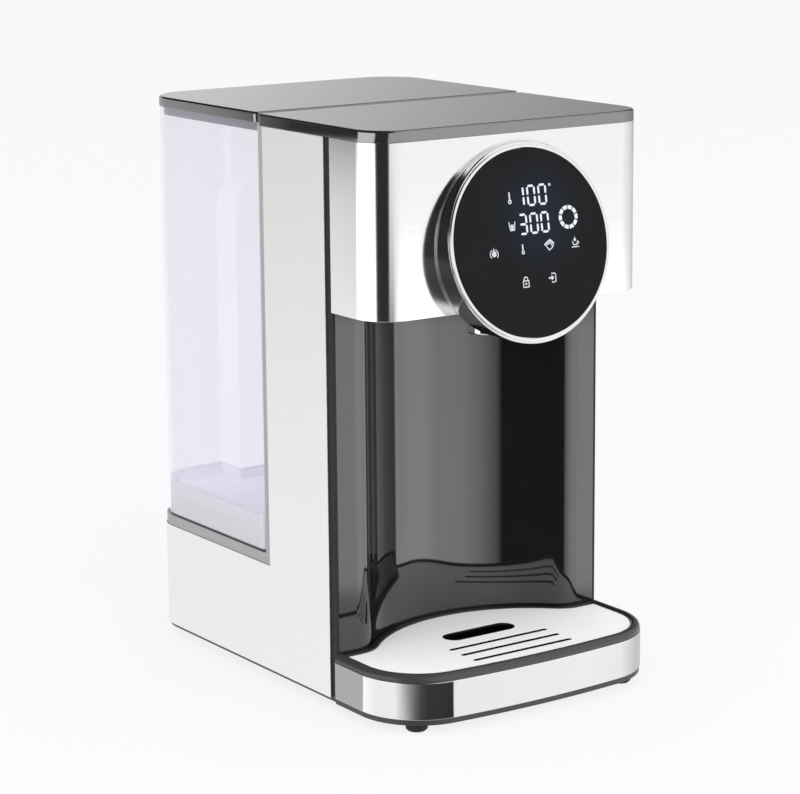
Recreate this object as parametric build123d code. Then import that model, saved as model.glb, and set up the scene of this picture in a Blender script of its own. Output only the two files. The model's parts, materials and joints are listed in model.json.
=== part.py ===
from build123d import *
import os
from math import atan2, cos, degrees, radians, sin, sqrt

# Countertop hot water dispenser, in millimetres.
# +Z is up, the front faces -Y, and the origin is on the surface it stands on, under the middle of its box.

# Body, front to back
body_width = 180.0
overall_height = 322.0
tray_reach = 23.0          # drip tray's front ahead of the head's face
head_reach = 43.5          # head's face ahead of the column's face
post_depth = 5.8           # dark corner post between the column and the side panel
strip_depth = 60.7         # full-height strip of the side panel
bay_edge = 4.5             # bay wall's edge beside the tank
tank_gap = 0.8             # bay wall to tank
tank_depth = 126.3
steel = 1.0                # steel sheet of the panels and the head

# Heights
foot_height = 5.5          # under the base
base_floor = 3.0
panel_lift = 1.7           # side panel's lower edge above the base's underside
deck_height = 63.0         # low rear part of the side panel, above the base's underside
deck_edge = 6.0            # deck's edge showing under the tank
lid_step = 0.6             # lid's top above the cover's top
cover_skirt = 6.2
lid_skirt = 5.6
head_height = 93.2
rear_r = 22.0              # rear corners of the panels and the deck
head_r = 20.0              # front corners of the head and the top cover
touch = 0.3                # gap between pieces that only lie beside each other

# Base and its feet
base_wall = 2.0
base_wall_height = 12.0
base_edge_inset = 0.5
foot_r = 6.0
foot_peg_r = 2.0
foot_peg_gap = 0.1
foot_chamfer = 1.1
front_foot_inset = 20.0    # from the body's side
front_foot_setback = 19.0  # from the tray's front
rear_foot_inset = 28.0
rear_foot_setback = 32.0   # from the rear

# Screws
screw_r = 1.45
screw_head_r = 3.2
screw_head = 1.5
screw_gap = 0.15
screw_length = 14.0
screw_sink = 0.2           # head below the surface
boss_r = 4.0
boss_inset = 16.0          # from the body's side
boss_front_setback = 12.0
boss_rear_setback = 28.0
rear_post_inset = 8.0      # from the rear cover's end
rear_post_width = 8.0
rear_post_depth = 9.0
rear_post_height = 48.0
rear_screw_height = 38.0   # above the base floor

# Column and corner posts
post_width = 1.6
post_recess = 0.8          # post's outer face behind the panel's
post_tongue = 10.0         # behind the side panel
column_wall = 2.5
scoop_flat = 11.6          # flat face beside the scoop
scoop_depth = 31.5
shoulder_r = 18.0

# Head
head_wall = 2.0
head_floor = 2.5

# Control disc, on a straight drum that is cut at a slant in front
disc_height = 36.0         # disc's centre above the head's underside
disc_reach = 13.0          # disc's centre ahead of the head's face
disc_tilt = 9.8            # degrees, the disc's face is turned up
drum_r = 52.8
drum_wall = 2.0
drum_floor = 1.2           # behind the display board
drum_bevel = 0.5           # front edge
drum_lip_r = 53.6          # lip against the head
drum_lip = 0.5
neck_r = 28.0
neck_wall = 2.0
neck_depth = 7.0
ring_inset = 0.7           # ring's outside within the drum's
ring_width = 1.8
ring_depth = 1.0
ring_bevel = 0.25
glass = 2.0
glass_gap = 0.2
board = 1.6
board_inset = 10.0         # board's edge within the ring's inside
board_gap = 0.4
window_depth = 1.2
window_width = 38.0
window_height = 40.0
window_rise = 10.0         # above the disc's centre
key_window_height = 12.0
key_window_drop = 27.0     # below the disc's centre

# Spout
nozzle_setback = 28.4      # nozzle's axis behind the head's face
nozzle_r = 10.0
nozzle_length = 18.5
nozzle_round = 1.25
nozzle_neck_r = 7.0
nozzle_bore_r = 5.5
nozzle_neck = 11.5         # above the head's floor
separator_r = 14.0
separator_height = 46.0
separator_wall = 2.0
separator_inlet = 34.0     # inlet's height above the separator's underside
separator_ear = 6.0

# Top cover and tank lid
cover_wall = 2.2
cover_top = 2.5
cover_rear_r = 3.0
top_edge_r = 1.4
seam = 1.6                 # between the cover and the lid
lid_inset = 0.4
lid_plug = 5.0
lid_plug_wall = 1.6
lid_plug_gap = 0.5

# Tank bay
deck_inset = 0.5
deck_plate = 2.5
bay_wall = 2.5

# Tank
tank_inset = 0.6
tank_wall = 2.0
tank_floor = 2.5
tank_foot = 15.0           # tank floor's top above the tank's lower edge
tank_floor_r = 8.5         # round between the tank's floor and its walls
tank_front_r = 5.0
tank_rear_r = 27.0
grip_width = 82.0
grip_depth = 22.0
grip_height = 182.0
grip_shoulder_r = 20.0
grip_neck_width = 70.0
grip_neck_depth = 9.0
grip_neck_height = 28.0
valve_setback = 45.0       # valve's axis behind the tank's front

# Tank valve
valve_neck_r = 12.0
valve_neck = 14.0          # below the deck's top
valve_bore_r = 8.5
valve_seat = 3.0
valve_hole_r = 5.0
valve_flange_r = 17.0
valve_flange = 3.0
valve_spigot_r = 10.0
valve_bridge = 3.0
valve_travel = 4.0
valve_clear = 0.1
stem_r = 2.4
stem_gap = 0.3
stem_below = 1.0           # stem's end above the neck's lower edge
seal_r = 7.5
seal = 2.5
plunger_r = 6.5
plunger_flange = 1.5
spring_r = 4.5
spring_wire_r = 0.5
spring_turns = 5
water_hole_r = 1.6
water_hole_ring_r = 5.8
water_holes = 4
filter_r = 14.0
filter_height = 12.0
filter_wall = 1.2
filter_slot = 2.0
filter_slots = 12

# Tank socket
socket_gap = 0.6
socket_wall = 3.4
socket_floor = 4.0
socket_under = 4.0         # cup's floor below the valve neck
socket_flange_r = 22.0
socket_flange = 2.5
post_r = 2.2
socket_seal_height = 3.0
socket_seal_depth = 2.0
socket_seal_drop = 5.5     # below the deck's top
outlet_x = 7.0

# Hoses and their nipples
nipple_r = 4.0
nipple_bore_r = 2.5
nipple = 8.0
hose_wall = 1.5
hose_gap = 0.05
hose_bend = 16.0
hose_grip = 7.0            # hose over the nipple

# Pump
pump_z = 22.5              # pump's axis above the base floor
pump_head_r = 18.0
pump_head = 16.0
pump_side_gap = 6.0        # motor's end to the body's side
pump_cheek = 4.0
impeller_r = 13.5
impeller_gap = 1.0
impeller_plate = 2.0
impeller_hub_r = 4.5
vane = 1.5
vane_count = 6
shaft_r = 2.0
shaft_gap = 0.05
shaft_in_motor = 20.0
motor_r = 17.0
motor_length = 36.0
cradle_width = 40.0
cradle_length = 26.0
cradle_drop = 5.0          # cradle's top below the pump's axis

# Heater
heater_r = 12.5
heater_drop = 35.5         # heater's upper end below the separator's inlet
heater_lift = 86.0         # heater's lower end above the base floor
heater_cap_r = 14.0
heater_cap = 8.0
clamp_wall = 2.2
clamp_height = 10.0
clamp_inset = 24.0         # clamps in from the heater's ends
clamp_web = 12.0
bracket_width = 36.0
bracket = 2.0
thermostat_r = 8.0
thermostat = 6.0
thermostat_pad = 1.5
sensor_r = 2.5
sensor_length = 12.0
sensor_x = 9.0

# Power board
power_width = 46.0
power_length = 88.0
power_side_gap = 26.0      # board's edge to the body's side
power_setback = 20.0       # behind the bay's front
standoff_r = 3.0
standoff = 6.0
standoff_inset = 4.0
connector_width = 8.0
connector_depth = 6.0
connector_height = 6.0
transformer_width = 24.0
transformer_depth = 20.0
transformer_height = 18.0
transformer_setback = 48.0  # behind the board's front edge
relay_width = 16.0
relay_depth = 12.0
relay_height = 14.0
relay_setback = 24.0
capacitor_r = 6.0
capacitor_height = 20.0
capacitor_x = 9.0          # from the board's middle
capacitor_setback = 76.0
harness_r = 2.0
harness_bend = 14.0
harness_drop = 18.0        # harness in front of the bay's front
harness_height = 4.0       # above the disc's centre
harness_x = 19.0           # where it enters the disc

# Rear cover
rear_corner = 34.0         # steel corner beside the rear cover
rear_cover = 3.0
rear_lip = 8.0             # behind the side panels
vent_width = 3.0
vent_height = 14.0
vent_pitch = 8.0
vent_count = 9
vent_rise = 34.0           # vent's centre above the base floor
gland_inset = 22.0         # from the rear cover's end
gland_rise = 13.0
gland_flange_r = 8.0
gland_flange = 2.0
gland_r = 5.0
gland_bore_r = 3.6
gland_length = 12.0

# Drip tray
tray_overhang = 1.0        # beyond the body's side
tray_corner_r = 38.0
tray_bow_r = 600.0
tray_band = 0.8
tray_band_height = 20.6
tray_base_wall = 3.2
tray_base_back = 1.8       # base's wall along the column
tray_base_floor = 1.5
tray_back_gap = 0.2
tray_frame = 4.4           # base's edge above the band
tray_frame_inset = 0.3
tray_frame_round = 3.0
tub_gap = 0.3
tub_back_gap = 0.5
tub_wall = 1.0
tub_back_wall = 1.4
tub_floor = 1.5
tub_drop = 0.4             # tub's edge below the base's
tub_ledge = 1.5
plate = 1.2
plate_gap = 0.4
plate_drop = 1.3           # plate's top below the base's edge
wide_slot_length = 47.0
wide_slot_width = 13.5
wide_slot_setback = 58.0   # behind the tray's front
thin_slot_length = 67.0
thin_slot_width = 3.0
thin_slot_step = 18.5      # from the wide slot to the first thin one
thin_slot_pitch = 11.2
thin_slot_count = 3

# Places worked out from the sizes
overall_depth = (tray_reach + head_reach + post_depth + strip_depth
                 + bay_edge + tank_gap + tank_depth)
half = body_width / 2
front_y = -overall_depth / 2
rear_y = overall_depth / 2
head_y = front_y + tray_reach
column_y = head_y + head_reach
panel_y = column_y + post_depth
bay_y = panel_y + strip_depth
bay_back_y = bay_y + bay_edge
wall_y = bay_back_y - bay_wall
tank_y = bay_back_y + tank_gap
cover_back_y = bay_back_y + touch
lid_y = cover_back_y + seam
scoop_back_y = column_y + scoop_depth + column_wall
nozzle_y = head_y + nozzle_setback
valve_y = tank_y + valve_setback
heater_y = (scoop_back_y + wall_y) / 2
rear_in_y = rear_y - rear_cover

base_z = foot_height
floor_z = base_z + base_floor
panel_z = base_z + panel_lift
deck_z = base_z + deck_height
deck_top = deck_z + deck_edge
deck_under = deck_top - deck_plate
cover_high = overall_height - lid_step
cover_z = cover_high - cover_skirt
lid_z = overall_height - lid_skirt
head_z = cover_z - head_height
head_floor_z = head_z + head_floor
disc_z = head_z + disc_height
band_top = floor_z + tray_band_height
frame_top = band_top + tray_frame
tub_top = frame_top - tub_drop
plate_top = frame_top - plate_drop
plate_z = plate_top - plate
tank_floor_z = deck_top + tank_foot
neck_z = deck_top - valve_neck
seat_z = neck_z + valve_seat
seal_z = seat_z + valve_clear + valve_travel
stem_z = neck_z + stem_below
bridge_z = tank_floor_z - valve_bridge
cup_z = neck_z - socket_under
socket_z = cup_z - socket_floor
pump_axis_z = floor_z + pump_z
motor_end = -half + pump_side_gap
pump_head_x = motor_end + motor_length
pump_front_x = pump_head_x + pump_head
heater_z = floor_z + heater_lift
separator_z = head_floor_z + nozzle_neck
inlet_z = separator_z + separator_inlet
heater_top = inlet_z - heater_drop
board_z = floor_z + standoff
post_in = half - post_recess - post_width
scoop_half = post_in - scoop_flat
scoop_r = (scoop_depth ** 2 + scoop_half ** 2) / (2 * scoop_depth) - shoulder_r
rear_cover_half = half - rear_corner
rear_post_x = rear_cover_half - rear_post_inset
gland_x = rear_cover_half - gland_inset
power_x = half - power_side_gap - power_width
boss_places = [(side * (half - boss_inset), y) for side in (-1, 1)
               for y in (bay_y + boss_front_setback, rear_y - boss_rear_setback)]


def block(x0, x1, y0, y1, z0, z1):
    """Box between two corners."""
    return Pos((x0 + x1) / 2, (y0 + y1) / 2, (z0 + z1) / 2) * Box(x1 - x0, y1 - y0, z1 - z0)


def rod(x, y, z0, z1, r):
    """Upright round bar."""
    return Pos(x, y, (z0 + z1) / 2) * Cylinder(r, z1 - z0)


def rod_x(x0, x1, y, z, r):
    """Round bar along X."""
    return Pos((x0 + x1) / 2, y, z) * Rot(0, 90, 0) * Cylinder(r, x1 - x0)


def rod_y(x, y0, y1, z, r):
    """Round bar along Y."""
    return Pos(x, (y0 + y1) / 2, z) * Rot(90, 0, 0) * Cylinder(r, y1 - y0)


def prism(face, z0, z1):
    """Upright wall of a plan outline."""
    return extrude(Pos(0, 0, z0) * face, amount=z1 - z0)


def plan(half_width, y0, y1, front_corner=0.0, rear_corner=0.0):
    """Rectangular plan outline with round front or rear corners."""
    shape = Pos(0, (y0 + y1) / 2) * Rectangle(2 * half_width, y1 - y0)
    if front_corner:
        shape = fillet(shape.vertices().group_by(Axis.Y)[0], front_corner)
    if rear_corner:
        shape = fillet(shape.vertices().group_by(Axis.Y)[-1], rear_corner)
    return shape


def arc(centre, r, start, end):
    """Arc between two angles in degrees, the shorter way round."""
    middle = (start + end) / 2
    at = [(centre[0] + r * cos(radians(a)), centre[1] + r * sin(radians(a))) for a in (start, middle, end)]
    return ThreePointArc(*at)


def scoop_line(gap, half_width):
    """Column's scooped face in plan, moved forward by gap, from +X to -X."""
    y = column_y - gap
    scoop_centre = (0, column_y + scoop_depth - scoop_r)
    shoulder_y = column_y + shoulder_r
    turn = degrees(atan2(shoulder_y - scoop_centre[1], scoop_half))
    right = arc((scoop_half, shoulder_y), shoulder_r + gap, -90, turn - 180)
    hollow = arc(scoop_centre, scoop_r - gap, turn, 180 - turn)
    left = arc((-scoop_half, shoulder_y), shoulder_r + gap, -turn, -90)
    return [Line((half_width, y), (scoop_half, y)), right, hollow, left,
            Line((-scoop_half, y), (-half_width, y))]


def tray_face(inset, back_gap):
    """D-shaped plan of the drip tray: bowed front, round corners, back edge along the column."""
    side = half + tray_overhang - inset
    corner = tray_corner_r - inset
    bow = tray_bow_r - inset
    bow_y = front_y + tray_bow_r
    corner_x = side - corner
    corner_y = bow_y - sqrt((bow - corner) ** 2 - corner_x ** 2)
    turn = degrees(atan2(corner_y - bow_y, corner_x))
    edges = [Line((-side, column_y - back_gap), (-side, corner_y)),
             arc((-corner_x, corner_y), corner, -180, -180 - turn),
             arc((0, bow_y), bow, -180 - turn, turn),
             arc((corner_x, corner_y), corner, turn, 0),
             Line((side, corner_y), (side, column_y - back_gap))]
    return make_face(edges + scoop_line(back_gap, side))


def hose(points, bends, outer_r, inner_r=0.0):
    """Round hose or wire along straight runs joined by tangent arcs."""
    path = FilletPolyline(*points, radius=bends)
    start = Plane(origin=path @ 0, z_dir=path % 0)
    tube = sweep(start * Circle(outer_r), path)
    if inner_r:
        tube -= sweep(start * Circle(inner_r), path)
    return tube


parts = {}


def keep(name, shape):
    """Name a finished piece."""
    parts[name] = shape


# Base: floor plate with side walls, standoffs for the power board and posts for the rear cover
base_plan = plan(half - steel, column_y, rear_y - steel, 0, rear_r - steel)
base = prism(base_plan, base_z, floor_z)
base += prism(tray_face(base_edge_inset, 0), base_z, floor_z)
wall_start = panel_y + post_tongue + touch
wall_ring = base_plan - plan(half - steel - base_wall, column_y, rear_y - steel, 0, rear_r - steel)
base += prism(wall_ring, floor_z, floor_z + base_wall_height) & block(
    -half, half, wall_start, rear_y - rear_r, floor_z, floor_z + base_wall_height)
power_y = bay_y + power_setback
board_corners = [(power_x + dx, power_y + dy)
                 for dx in (standoff_inset, power_width - standoff_inset)
                 for dy in (standoff_inset, power_length - standoff_inset)]
for x, y in board_corners:
    base += rod(x, y, floor_z, board_z, standoff_r)
for side in (-1, 1):
    x = side * rear_post_x
    base += block(x - rear_post_width / 2, x + rear_post_width / 2, rear_in_y - rear_post_depth, rear_in_y,
                  floor_z, floor_z + rear_post_height)
    base -= rod_y(x, rear_in_y - rear_post_depth, rear_in_y, floor_z + rear_screw_height, screw_r + screw_gap)
foot_places = [(side * (half - inset), y) for side in (-1, 1)
               for inset, y in ((front_foot_inset, front_y + front_foot_setback),
                                (rear_foot_inset, rear_y - rear_foot_setback))]
for x, y in foot_places:
    base -= rod(x, y, base_z, floor_z, foot_peg_r + foot_peg_gap)
for x, y in boss_places:
    base -= rod(x, y, base_z, floor_z, screw_r + screw_gap)
    base -= rod(x, y, base_z, base_z + screw_head + screw_sink, screw_head_r + screw_gap)
keep("base", base)

# Rubber feet, pegged into the base
feet = []
for x, y in foot_places:
    pad = rod(x, y, 0, base_z, foot_r)
    pad = chamfer(pad.edges().group_by(Axis.Z)[0], foot_chamfer)
    feet.append(pad + rod(x, y, base_z, floor_z, foot_peg_r))
keep("feet", Compound(feet))

# Screws that hold the base to the deck's bosses
base_screws = []
for x, y in boss_places:
    head_base = base_z + screw_sink
    base_screws.append(rod(x, y, head_base, head_base + screw_head, screw_head_r)
                       + rod(x, y, head_base + screw_head, head_base + screw_length, screw_r))
keep("base_screws", Compound(base_screws))

# Steel side panels: a full-height strip, and a low part round the rear corner
panel_plan = (plan(half, panel_y, rear_y, 0, rear_r)
              - plan(half - steel, panel_y, rear_y - steel, 0, rear_r - steel))
panels = prism(panel_plan, panel_z, cover_z) - block(-half, half, bay_y, rear_y, deck_z, cover_z)
panel_rear_x = rear_cover_half + touch
left_panel = panels & block(-half, -panel_rear_x, panel_y, rear_y, panel_z, cover_z)
keep("left_side_panel", left_panel)
keep("right_side_panel", mirror(left_panel, Plane.YZ))

# Dark corner posts between the column and the side panels
left_post = (block(-half + post_recess, -post_in, column_y, panel_y, floor_z, cover_z)
             + block(-half + steel, -post_in, panel_y, panel_y + post_tongue, floor_z, cover_z))
keep("left_corner_post", left_post)
keep("right_corner_post", mirror(left_post, Plane.YZ))

# Scooped column front
column_back = [Line((-post_in, column_y), (-post_in, column_y + column_wall)),
               *scoop_line(-column_wall, post_in),
               Line((post_in, column_y + column_wall), (post_in, column_y))]
column = prism(make_face(scoop_line(0, post_in) + column_back), floor_z, head_z)
keep("column_front", column)

# Head: plastic shell with its floor, and the steel band round it
head_out = plan(half, head_y, column_y, head_r)
head_mid = plan(half - steel, head_y + steel, column_y, head_r - steel)
head_in = plan(half - steel - head_wall, head_y + steel + head_wall, column_y, head_r - steel - head_wall)
neck_hole = rod_y(0, head_y, head_y + steel + head_wall, disc_z, neck_r + touch)
head_shell = prism(head_mid - head_in, head_z, cover_z) + prism(head_mid, head_z, head_floor_z)
head_shell += block(-post_in, post_in, column_y, scoop_back_y, head_z, head_floor_z)
head_shell -= neck_hole
head_shell -= rod(0, nozzle_y, head_z, head_floor_z, nozzle_neck_r + touch)
keep("head_shell", head_shell)
keep("head_band", prism(head_out - head_mid, head_z, cover_z) - neck_hole)

# Top cover
cover = prism(fillet(plan(half, head_y, cover_back_y, head_r).vertices().group_by(Axis.Y)[-1], cover_rear_r),
              cover_z, cover_high)
cover = fillet(cover.edges().group_by(Axis.Z)[-1], top_edge_r)
cover -= prism(plan(half - cover_wall, head_y + cover_wall, cover_back_y - cover_wall, head_r - cover_wall),
               cover_z, cover_high - cover_top)
keep("top_cover", cover)

# Control disc: chrome drum cut at a slant, bright ring, glass, display frame and display board
face = Pos(0, head_y, disc_z) * Rot(90, 0, 0)
slant = Pos(0, head_y - disc_reach, disc_z) * Rot(90 - disc_tilt, 0, 0)
ring_r = drum_r - ring_inset
cup_r = ring_r - ring_width
board_r = cup_r - board_inset
board_back = glass + window_depth + board
drum_length = disc_reach + drum_r
room = 4 * drum_r
ahead = Pos(0, 0, room / 2) * Box(room, room, room)
drum = face * Pos(0, 0, drum_length / 2) * Cylinder(drum_r, drum_length)
drum -= slant * Pos(0, 0, -ring_depth) * ahead
drum = chamfer(drum.edges().sort_by(SortBy.LENGTH)[-1], drum_bevel)
hollow = face * Pos(0, 0, drum_wall + drum_length / 2) * Cylinder(drum_r - drum_wall, drum_length)
hollow -= slant * Pos(0, 0, -board_back - drum_floor) * ahead
drum -= hollow
lip = face * Pos(0, 0, drum_lip / 2) * Cylinder(drum_lip_r, drum_lip)
drum += lip - block(-room, room, head_y - room, head_y + room, head_z - room, head_z)
drum += face * Pos(0, 0, (drum_wall - neck_depth) / 2) * Cylinder(neck_r, neck_depth + drum_wall)
drum -= face * Pos(0, 0, (disc_reach - neck_depth) / 2) * Cylinder(neck_r - neck_wall, disc_reach + neck_depth)
drum -= slant * Pos(0, 0, -glass / 2) * Cylinder(cup_r, glass)
drum -= slant * Pos(0, 0, -board_back / 2) * Cylinder(board_r + board_gap, board_back)
keep("disc_drum", drum)
ring = Cylinder(ring_r, ring_depth) - Cylinder(cup_r, ring_depth)
ring = chamfer(ring.edges().group_by(Axis.Z)[-1], ring_bevel)
keep("disc_ring", slant * Pos(0, 0, -ring_depth / 2) * ring)
glass_r = cup_r - glass_gap
keep("control_glass", slant * Pos(0, 0, -glass / 2) * Cylinder(glass_r, glass))
keep("display_board", slant * Pos(0, 0, board / 2 - board_back) * Cylinder(board_r, board))
window_z = -glass - window_depth / 2
display_frame = Pos(0, 0, window_z) * Cylinder(board_r, window_depth)
display_frame -= Pos(0, window_rise, window_z) * Box(window_width, window_height, window_depth)
display_frame -= Pos(0, -key_window_drop, window_z) * Box(window_width, key_window_height, window_depth)
keep("display_frame", slant * display_frame)

# Spout nozzle and the steam separator above it
nozzle = rod(0, nozzle_y, head_z - nozzle_length, head_z, nozzle_r)
nozzle = fillet(nozzle.edges().group_by(Axis.Z)[0], nozzle_round)
nozzle += rod(0, nozzle_y, head_z, separator_z, nozzle_neck_r)
nozzle -= rod(0, nozzle_y, head_z - nozzle_length, separator_z, nozzle_bore_r)
keep("spout_nozzle", nozzle)
separator_top = separator_z + separator_height
separator = rod(0, nozzle_y, separator_z, separator_top, separator_r)
for side in (-1, 1):
    x = side * (separator_r + separator_ear / 2)
    separator += block(x - separator_ear, x + separator_ear, nozzle_y - separator_ear / 2,
                       nozzle_y + separator_ear / 2, head_floor_z, separator_z + separator_ear)
separator += rod_y(0, nozzle_y, nozzle_y + separator_r + nipple, inlet_z, nipple_r)
separator -= rod(0, nozzle_y, separator_z + separator_wall, separator_top - separator_wall,
                 separator_r - separator_wall)
separator -= rod(0, nozzle_y, separator_z, separator_top, nozzle_bore_r)
separator -= rod_y(0, nozzle_y, nozzle_y + separator_r + nipple, inlet_z, nipple_bore_r)
keep("steam_separator", separator)

# Tank bay: deck with its edge, bosses down to the base, and the wall in front of the tank
deck_out = plan(half - deck_inset, bay_y, rear_y - deck_inset, 0, rear_r - deck_inset)
deck_in = plan(half - deck_inset - deck_plate, bay_y + deck_plate, rear_y - deck_inset - deck_plate,
               0, rear_r - deck_inset - deck_plate)
bay = prism(deck_out - deck_in, deck_z, deck_top) + prism(deck_out, deck_under, deck_top)
bay_half = half - deck_inset
bay += block(-bay_half, bay_half, wall_y, bay_back_y, deck_under, cover_z)
for side in (-1, 1):
    x = side * (bay_half - deck_plate / 2)
    bay += block(x - deck_plate / 2, x + deck_plate / 2, bay_y, bay_back_y, deck_under, cover_z)
for x, y in boss_places:
    bay += rod(x, y, floor_z, deck_under, boss_r)
    bay -= rod(x, y, floor_z, base_z + screw_sink + screw_length + touch, screw_r + screw_gap)
socket_in = valve_neck_r + socket_gap
socket_out = socket_in + socket_wall
bay -= rod(0, valve_y, deck_under, deck_top, socket_out + screw_gap)
keep("tank_bay", bay)

# Socket that takes the tank's valve, with its seal and the post that lifts the plunger
socket = rod(0, valve_y, socket_z, deck_top, socket_out)
socket += rod(0, valve_y, deck_under - socket_flange, deck_under, socket_flange_r)
socket -= rod(0, valve_y, cup_z, deck_top, socket_in)
socket += rod(0, valve_y, cup_z, stem_z, post_r)
socket += rod(outlet_x, valve_y, socket_z - nipple, socket_z, nipple_r)
socket -= rod(outlet_x, valve_y, socket_z - nipple, cup_z, nipple_bore_r)
seal_top = deck_top - socket_seal_drop
seal_ring = [seal_top - socket_seal_height, seal_top]
socket -= rod(0, valve_y, *seal_ring, socket_in + socket_seal_depth)
keep("tank_socket", socket)
keep("socket_seal", rod(0, valve_y, *seal_ring, socket_in + socket_seal_depth)
     - rod(0, valve_y, *seal_ring, valve_neck_r + touch))

# Tank shell with the bottle-shaped grip moulded into its back
tank_half = half - tank_inset
tank_out = plan(tank_half, tank_y, rear_y, tank_front_r, tank_rear_r)
tank_in = plan(tank_half - tank_wall, tank_y + tank_wall, rear_y - tank_wall,
               tank_front_r - tank_wall, tank_rear_r - tank_wall)


def grip(margin):
    """Hollow pressed into the tank's back, grown by margin."""
    low = tank_floor_z - margin
    body_top = tank_floor_z + grip_height + margin
    neck_top = tank_floor_z + grip_height + grip_neck_height + margin
    width = grip_width + 2 * margin
    body = Pos(0, (low + body_top) / 2) * Rectangle(width, body_top - low)
    body = fillet(body.vertices().group_by(Axis.Y)[-1], grip_shoulder_r + margin)
    neck_part = Pos(0, (low + neck_top) / 2) * Rectangle(grip_neck_width + 2 * margin, neck_top - low)
    back = Plane(origin=(0, rear_y, 0), x_dir=(1, 0, 0), z_dir=(0, -1, 0))
    return (extrude(back * body, amount=grip_depth + margin)
            + extrude(back * neck_part, amount=grip_neck_depth + margin))


cavity = block(tank_wall - tank_half, tank_half - tank_wall, tank_y + tank_wall, rear_y - tank_wall,
               tank_floor_z, lid_z)
cavity = fillet(cavity.edges().group_by(Axis.Z)[0], tank_floor_r)
tank = prism(tank_out, deck_top, lid_z) - grip(0)
tank -= (cavity & prism(tank_in, tank_floor_z, lid_z)) - grip(tank_wall)
tank -= prism(tank_in, deck_top, tank_floor_z - tank_floor)
tank -= rod(0, valve_y, tank_floor_z - tank_floor, tank_floor_z, valve_spigot_r + screw_gap)
keep("tank_shell", tank)

# Tank lid with the plug that drops into the tank
lid_half = half - lid_inset
lid = fillet(plan(lid_half, lid_y, rear_y, 0, tank_rear_r).vertices().group_by(Axis.Y)[0], cover_rear_r)
lid = prism(lid, lid_z, overall_height)
lid = fillet(lid.edges().group_by(Axis.Z)[-1], top_edge_r)
plug_in = tank_wall + lid_plug_gap
plug_out = plan(tank_half - plug_in, tank_y + plug_in, rear_y - plug_in, tank_front_r - plug_in,
                tank_rear_r - plug_in)
plug_hole = plan(tank_half - plug_in - lid_plug_wall, tank_y + plug_in + lid_plug_wall,
                 rear_y - plug_in - lid_plug_wall, 0, tank_rear_r - plug_in - lid_plug_wall)
lid += prism(plug_out, lid_z - lid_plug, lid_z)
lid -= prism(plug_hole, lid_z - lid_plug, overall_height - cover_top)
keep("tank_lid", lid)

# Tank valve: cage, plunger, seal, spring and the filter over it
cage = rod(0, valve_y, neck_z, tank_floor_z - tank_floor, valve_neck_r)
cage += rod(0, valve_y, tank_floor_z - tank_floor - valve_flange, tank_floor_z - tank_floor, valve_flange_r)
cage += rod(0, valve_y, tank_floor_z - tank_floor, tank_floor_z, valve_spigot_r)
cage -= rod(0, valve_y, seat_z, bridge_z, valve_bore_r)
cage -= rod(0, valve_y, neck_z, seat_z, valve_hole_r)
cage -= rod(0, valve_y, bridge_z, tank_floor_z, stem_r + stem_gap)
for place in PolarLocations(water_hole_ring_r, water_holes):
    x, y, _ = place.position
    cage -= rod(x, valve_y + y, bridge_z, tank_floor_z, water_hole_r)
keep("valve_cage", cage)
flange_z = seal_z + seal
spring_z = flange_z + plunger_flange
plunger = rod(0, valve_y, stem_z, tank_floor_z, stem_r)
plunger += rod(0, valve_y, flange_z, spring_z, plunger_r)
keep("valve_plunger", plunger)
keep("valve_seal", rod(0, valve_y, seal_z, flange_z, seal_r) - rod(0, valve_y, seal_z, flange_z, stem_r))
spring_height = bridge_z - spring_z - 2 * spring_wire_r
coil = Helix(spring_height / spring_turns, spring_height, spring_r)
coil = Pos(0, valve_y, spring_z + spring_wire_r) * coil
wire = Plane(origin=coil @ 0, z_dir=coil % 0) * Circle(spring_wire_r)
keep("valve_spring", sweep(wire, coil, is_frenet=True))
filter_top = tank_floor_z + filter_height
screen = (rod(0, valve_y, tank_floor_z, filter_top, filter_r)
          - rod(0, valve_y, tank_floor_z, filter_top - filter_wall, filter_r - filter_wall))
slot_cut = Box(4 * filter_wall, filter_slot, filter_height / 2)
for place in PolarLocations(filter_r, filter_slots):
    screen -= Pos(0, valve_y, tank_floor_z + filter_height / 2) * place * slot_cut
keep("tank_filter", screen)

# Pump: motor, head, impeller and the rubber cradle under it
cavity_front = pump_front_x - pump_cheek
cavity_back = pump_head_x + pump_cheek
head_body = rod_x(pump_head_x, pump_front_x, valve_y, pump_axis_z, pump_head_r)
head_body += rod_x(pump_front_x, pump_front_x + nipple, valve_y, pump_axis_z, nipple_r)
pump_middle = (pump_head_x + pump_front_x) / 2
outlet_y = valve_y - pump_head_r - nipple
head_body += rod_y(pump_middle, outlet_y, valve_y, pump_axis_z, nipple_r)
head_body -= rod_x(cavity_back, cavity_front, valve_y, pump_axis_z, impeller_r + impeller_gap)
head_body -= rod_x(cavity_front, pump_front_x + nipple, valve_y, pump_axis_z, nipple_bore_r)
head_body -= rod_y(pump_middle, outlet_y, valve_y - impeller_r, pump_axis_z, nipple_bore_r)
head_body -= rod_x(pump_head_x, cavity_back, valve_y, pump_axis_z, shaft_r + shaft_gap)
keep("pump_head", head_body)
motor = rod_x(motor_end, pump_head_x, valve_y, pump_axis_z, motor_r)
shaft_end = pump_head_x - shaft_in_motor
motor -= rod_x(shaft_end - shaft_gap, pump_head_x, valve_y, pump_axis_z, shaft_r + shaft_gap)
keep("pump_motor", motor)
rotor_back = cavity_back + impeller_gap
rotor_front = cavity_front - impeller_gap
rotor = rod_x(rotor_back, rotor_back + impeller_plate, valve_y, pump_axis_z, impeller_r)
rotor += rod_x(rotor_back, rotor_front, valve_y, pump_axis_z, impeller_hub_r)
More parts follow.
